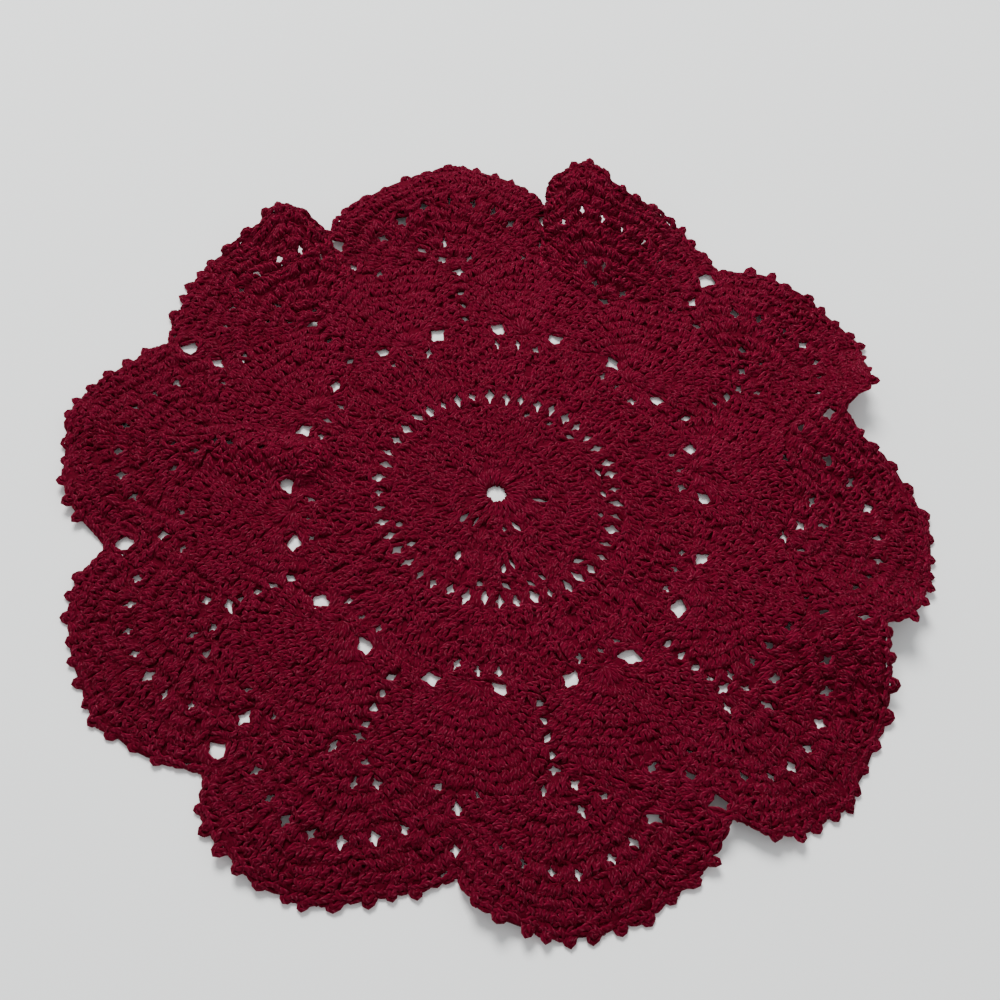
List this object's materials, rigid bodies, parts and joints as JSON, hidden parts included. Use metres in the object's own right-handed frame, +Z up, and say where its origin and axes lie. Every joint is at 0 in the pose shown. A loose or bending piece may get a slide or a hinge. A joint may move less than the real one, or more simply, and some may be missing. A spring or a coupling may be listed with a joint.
{
  "type": "crocheted lace doily",
  "caption": "Round crocheted lace doily with fans, eyelets and a scalloped picot edge, laid out with its edge petals lifting in soft folds.",
  "frame": {"origin": "middle of the doily's outline, on the surface that it lies on", "axes": "+Z up from the surface; +X to the right and +Y away from a viewer who sees the tallest fold at the far side"},
  "size_m": [0.3861, 0.377, 0.0315],
  "materials": {
    "crimson_cotton": "matte twisted cotton yarn"
  },
  "bodies": {
    "root": {"doily": "crimson_cotton"}
  },
  "joints": []
}
